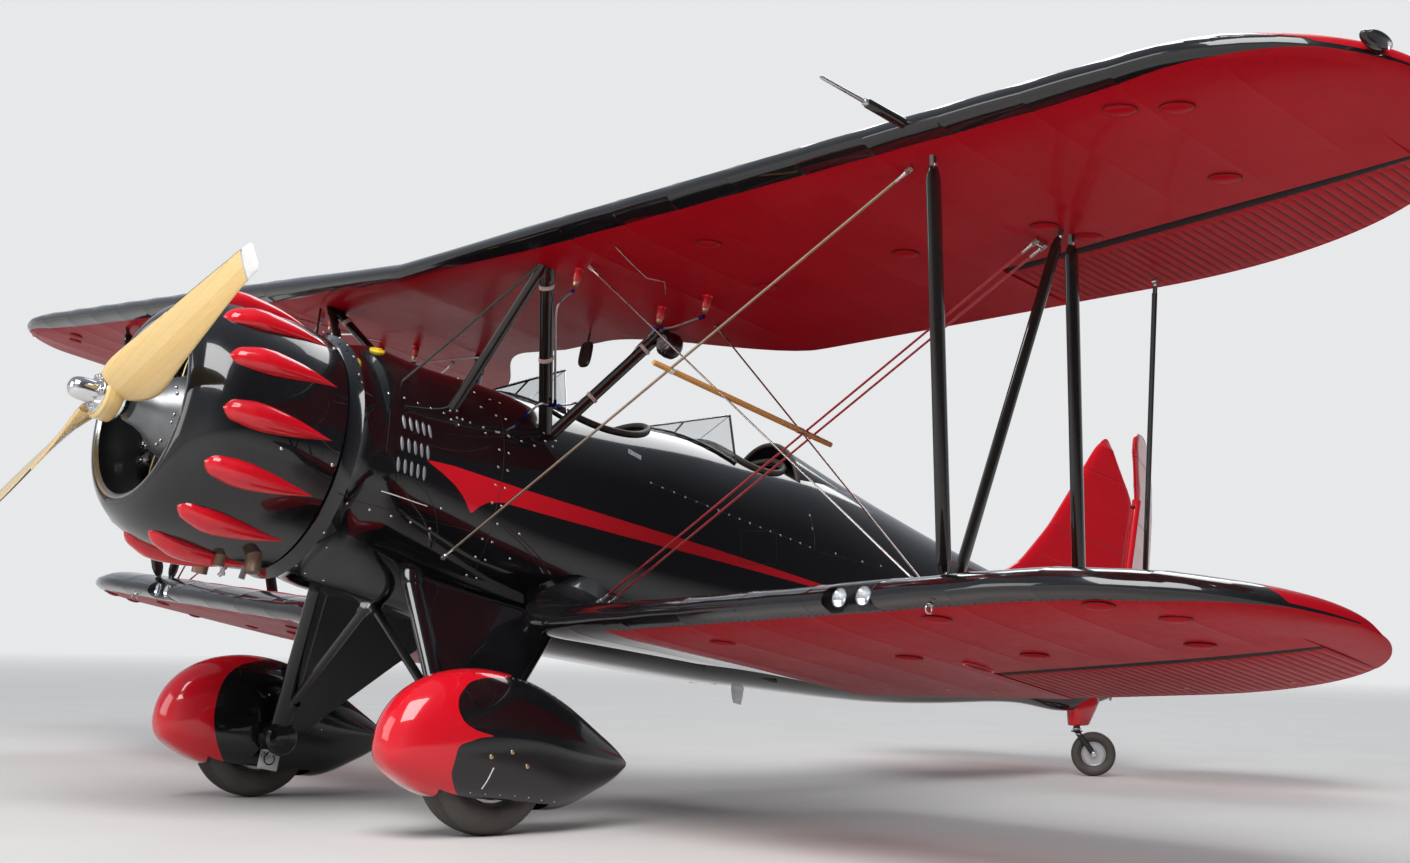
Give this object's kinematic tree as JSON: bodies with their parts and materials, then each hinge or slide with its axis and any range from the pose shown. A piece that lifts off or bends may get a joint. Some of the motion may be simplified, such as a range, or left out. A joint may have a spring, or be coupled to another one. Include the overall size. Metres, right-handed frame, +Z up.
{
  "type": "biplane",
  "caption": "Two-cockpit biplane with a radial engine, wooden propeller and faired wheels, parked on its gear.",
  "frame": {"origin": "on the ground, at the middle of the outline seen from above", "axes": "+X to the left (port) wing tip, -Y ahead to the nose, +Z up, with the aircraft parked nose-up on its three wheels"},
  "size_m": [9.1152, 7.1968, 2.5517],
  "materials": {
    "black_paint": "high gloss black enamel",
    "red_paint": "high gloss red enamel",
    "wing_red": "doped fabric in gloss red with a black leading edge",
    "wood": "laminated wood under clear varnish",
    "polished_steel": "polished steel",
    "engine_metal": "dark finned cylinders and crankcase",
    "exhaust": "heat tinted steel",
    "wire": "streamlined steel stay",
    "tyre": "worn black rubber on a metal hub",
    "leather": "dark leather",
    "glass": "clear acrylic"
  },
  "bodies": {
    "airframe": {"fuselage": "black_paint", "accessory_cowl": "black_paint", "exhaust_left": "exhaust", "exhaust_right": "exhaust", "engine_cowling": "black_paint", "engine": "engine_metal", "upper_wing_centre": "wing_red", "upper_wing_left": "wing_red", "lower_wing_left": "wing_red", "upper_wing_right": "wing_red", "lower_wing_right": "wing_red", "interplane_strut_front_left": "black_paint", "interplane_strut_rear_left": "black_paint", "interplane_strut_diagonal_left": "black_paint", "interplane_strut_front_right": "black_paint", "interplane_strut_rear_right": "black_paint", "interplane_strut_diagonal_right": "black_paint", "cabane_struts_left": "black_paint", "cabane_struts_right": "black_paint", "flying_wire_front_left": "wire", "flying_wires_rear_left": "red_paint", "landing_wires_left": "wire", "wire_spreader_left": "wood", "flying_wire_front_right": "wire", "flying_wires_rear_right": "red_paint", "landing_wires_right": "wire", "wire_spreader_right": "wood", "windshield_front": "glass", "windshield_rear": "glass", "seat_front": "leather", "seat_rear": "leather", "wheel_fairing_left": "red_paint", "gear_leg_left": "black_paint", "wheel_fairing_right": "red_paint", "gear_leg_right": "black_paint", "gear_brace_left": "black_paint", "gear_brace_right": "black_paint", "fin": "red_paint", "stabiliser": "red_paint", "tail_strut_left": "black_paint", "tail_strut_right": "black_paint", "pitot_boom": "black_paint", "tailwheel_fairing": "red_paint"},
    "propeller_assembly": {"propeller": "wood", "propeller_hub": "polished_steel"},
    "left_wheel": {"wheel_left": "tyre"},
    "right_wheel": {"wheel_right": "tyre"},
    "tail_fork": {"tailwheel_fork": "black_paint"},
    "tail_wheel": {"tailwheel": "tyre"},
    "rudder_body": {"rudder": "red_paint"},
    "elevator_body": {"elevator_left": "red_paint", "elevator_right": "red_paint"},
    "upper_left_aileron": {"aileron_upper_left": "wing_red"},
    "lower_left_aileron": {"aileron_lower_left": "wing_red"},
    "left_aileron_link": {"aileron_link_left": "black_paint"},
    "upper_right_aileron": {"aileron_upper_right": "wing_red"},
    "lower_right_aileron": {"aileron_lower_right": "wing_red"},
    "right_aileron_link": {"aileron_link_right": "black_paint"}
  },
  "joints": [
    {"name": "propeller_spin", "type": "hinge", "parent": "airframe", "child": "propeller_assembly", "pos_m": [0, -3.44063, 1.66065], "axis": [0, -0.9789, 0.2045], "continuous": true},
    {"name": "left_wheel_spin", "type": "hinge", "parent": "airframe", "child": "left_wheel", "pos_m": [0.9165, -2.23985, 0.275], "axis": [1, 0, 0], "continuous": true},
    {"name": "right_wheel_spin", "type": "hinge", "parent": "airframe", "child": "right_wheel", "pos_m": [-0.9165, -2.23985, 0.275], "axis": [1, 0, 0], "continuous": true},
    {"name": "tailwheel_swivel", "type": "hinge", "parent": "airframe", "child": "tail_fork", "pos_m": [0, 2.56915, 0], "axis": [0, 0, 1], "continuous": true},
    {"name": "tailwheel_spin", "type": "hinge", "parent": "tail_fork", "child": "tail_wheel", "pos_m": [0.07277, 2.63022, 0.127], "axis": [0.6428, -0.766, 0], "continuous": true},
    {"name": "rudder_hinge", "type": "hinge", "parent": "airframe", "child": "rudder_body", "pos_m": [0, 2.86532, 0.35348], "axis": [0, 0.2045, 0.9789], "range_deg": [-55, 5]},
    {"name": "elevator_hinge", "type": "hinge", "parent": "airframe", "child": "elevator_body", "pos_m": [0, 2.77786, 0.79061], "axis": [1, 0, 0], "range_deg": [-22, 28]},
    {"name": "lower_left_aileron_hinge", "type": "hinge", "parent": "airframe", "child": "lower_left_aileron", "pos_m": [2.43111, -0.9524, 0.71024], "axis": [0.9934, -0.0741, 0.088], "range_deg": [-22, 22]},
    {"name": "upper_left_aileron_hinge", "type": "hinge", "parent": "airframe", "child": "upper_left_aileron", "pos_m": [2.55553, -1.07776, 2.19825], "axis": [0.9932, -0.097, 0.0639], "range_deg": [-22, 22]},
    {"name": "left_link_eye", "type": "hinge", "parent": "lower_left_aileron", "child": "left_aileron_link", "pos_m": [2.87908, -0.69936, 0.7034], "axis": [0.9934, -0.0741, 0.088], "range_deg": [-22, 22]},
    {"name": "lower_right_aileron_hinge", "type": "hinge", "parent": "airframe", "child": "lower_right_aileron", "pos_m": [-2.43111, -0.9524, 0.71024], "axis": [0.9934, 0.0741, -0.088], "range_deg": [-22, 22]},
    {"name": "upper_right_aileron_hinge", "type": "hinge", "parent": "airframe", "child": "upper_right_aileron", "pos_m": [-2.55553, -1.07776, 2.19825], "axis": [0.9932, 0.097, -0.0639], "range_deg": [-22, 22]},
    {"name": "right_link_eye", "type": "hinge", "parent": "lower_right_aileron", "child": "right_aileron_link", "pos_m": [-2.87908, -0.69936, 0.7034], "axis": [0.9934, 0.0741, -0.088], "range_deg": [-22, 22]}
  ],
  "couplings": [
    {"joint": "upper_left_aileron_hinge", "follows": "lower_left_aileron_hinge", "ratio": 1},
    {"joint": "left_link_eye", "follows": "lower_left_aileron_hinge", "ratio": -1},
    {"joint": "lower_right_aileron_hinge", "follows": "lower_left_aileron_hinge", "ratio": -1},
    {"joint": "upper_right_aileron_hinge", "follows": "lower_left_aileron_hinge", "ratio": -1},
    {"joint": "right_link_eye", "follows": "lower_left_aileron_hinge", "ratio": 1}
  ]
}
